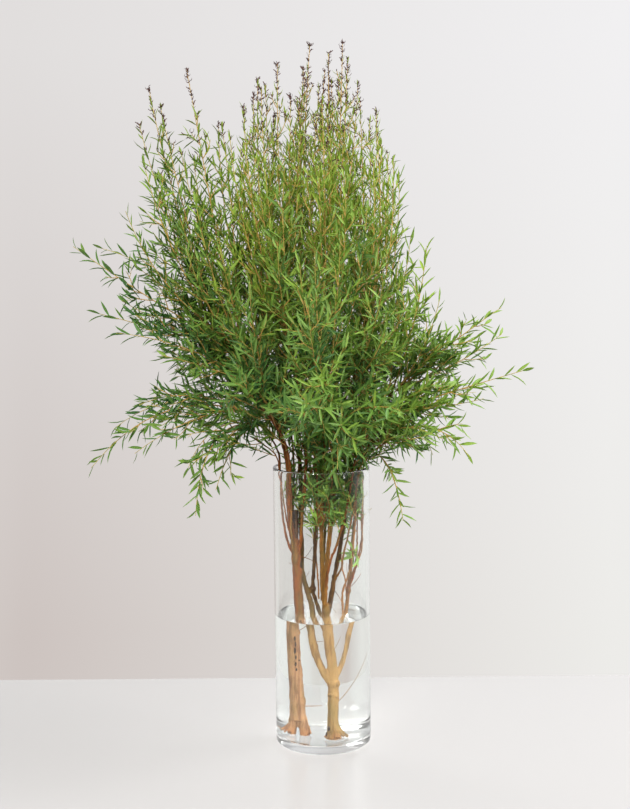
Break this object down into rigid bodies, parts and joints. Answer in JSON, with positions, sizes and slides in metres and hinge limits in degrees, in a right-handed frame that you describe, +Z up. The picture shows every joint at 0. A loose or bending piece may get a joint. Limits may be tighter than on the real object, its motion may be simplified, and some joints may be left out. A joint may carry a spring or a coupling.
{
  "type": "leafy branches in a glass vase",
  "caption": "Two woody cut branches with many narrow-leaved green sprays, standing in water in a tall straight clear glass cylinder vase",
  "frame": {"origin": "centre of the vase's flat underside, on the surface it stands on", "axes": "+Z up along the vase's axis, +X to the viewer's right, -Y towards the viewer of the picture"},
  "size_m": [0.4598, 0.3998, 0.72],
  "materials": {
    "glass": "polished",
    "water": "polished",
    "bark_red": "matte",
    "bark_ochre": "matte",
    "leaf_olive": "satin",
    "leaf_fresh": "satin",
    "leaf_deep": "satin"
  },
  "bodies": {
    "root": {"vase": "glass", "water": "water", "branch_left": "bark_red", "branch_right": "bark_ochre", "spray_top_1": "leaf_olive", "spray_top_2": "leaf_olive", "spray_top_3": "leaf_olive", "spray_top_4": "leaf_olive", "spray_top_5": "leaf_olive", "spray_top_6": "leaf_olive", "spray_top_7": "leaf_olive", "spray_top_8": "leaf_olive", "spray_top_9": "leaf_olive", "spray_top_10": "leaf_olive", "spray_right_1": "leaf_olive", "spray_upper_left_1": "leaf_fresh", "spray_upper_left_2": "leaf_fresh", "spray_upper_left_3": "leaf_fresh", "spray_upper_left_4": "leaf_fresh", "spray_right_2": "leaf_fresh", "spray_right_3": "leaf_fresh", "spray_front_1": "leaf_fresh", "spray_front_2": "leaf_fresh", "spray_front_3": "leaf_fresh", "spray_front_4": "leaf_fresh", "spray_front_8": "leaf_fresh", "spray_front_9": "leaf_fresh", "spray_front_10": "leaf_fresh", "spray_back_1": "leaf_fresh", "spray_back_2": "leaf_fresh", "spray_back_3": "leaf_fresh", "spray_low_right_3": "leaf_fresh", "shoot_in_vase_1": "leaf_fresh", "shoot_in_vase_2": "leaf_fresh", "shoot_in_vase_3": "leaf_fresh", "shoot_in_vase_4": "leaf_fresh", "spray_left_1": "leaf_deep", "spray_left_2": "leaf_deep", "spray_left_3": "leaf_deep", "spray_left_4": "leaf_deep", "spray_low_left_1": "leaf_deep", "spray_low_left_2": "leaf_deep", "spray_low_left_3": "leaf_deep", "spray_right_4": "leaf_deep", "spray_right_5": "leaf_deep", "spray_right_6": "leaf_deep", "spray_low_right_1": "leaf_deep", "spray_low_right_2": "leaf_deep", "spray_front_5": "leaf_deep", "spray_front_6": "leaf_deep", "spray_front_7": "leaf_deep", "spray_back_4": "leaf_deep", "spray_back_5": "leaf_deep", "spray_back_6": "leaf_deep"}
  },
  "joints": []
}
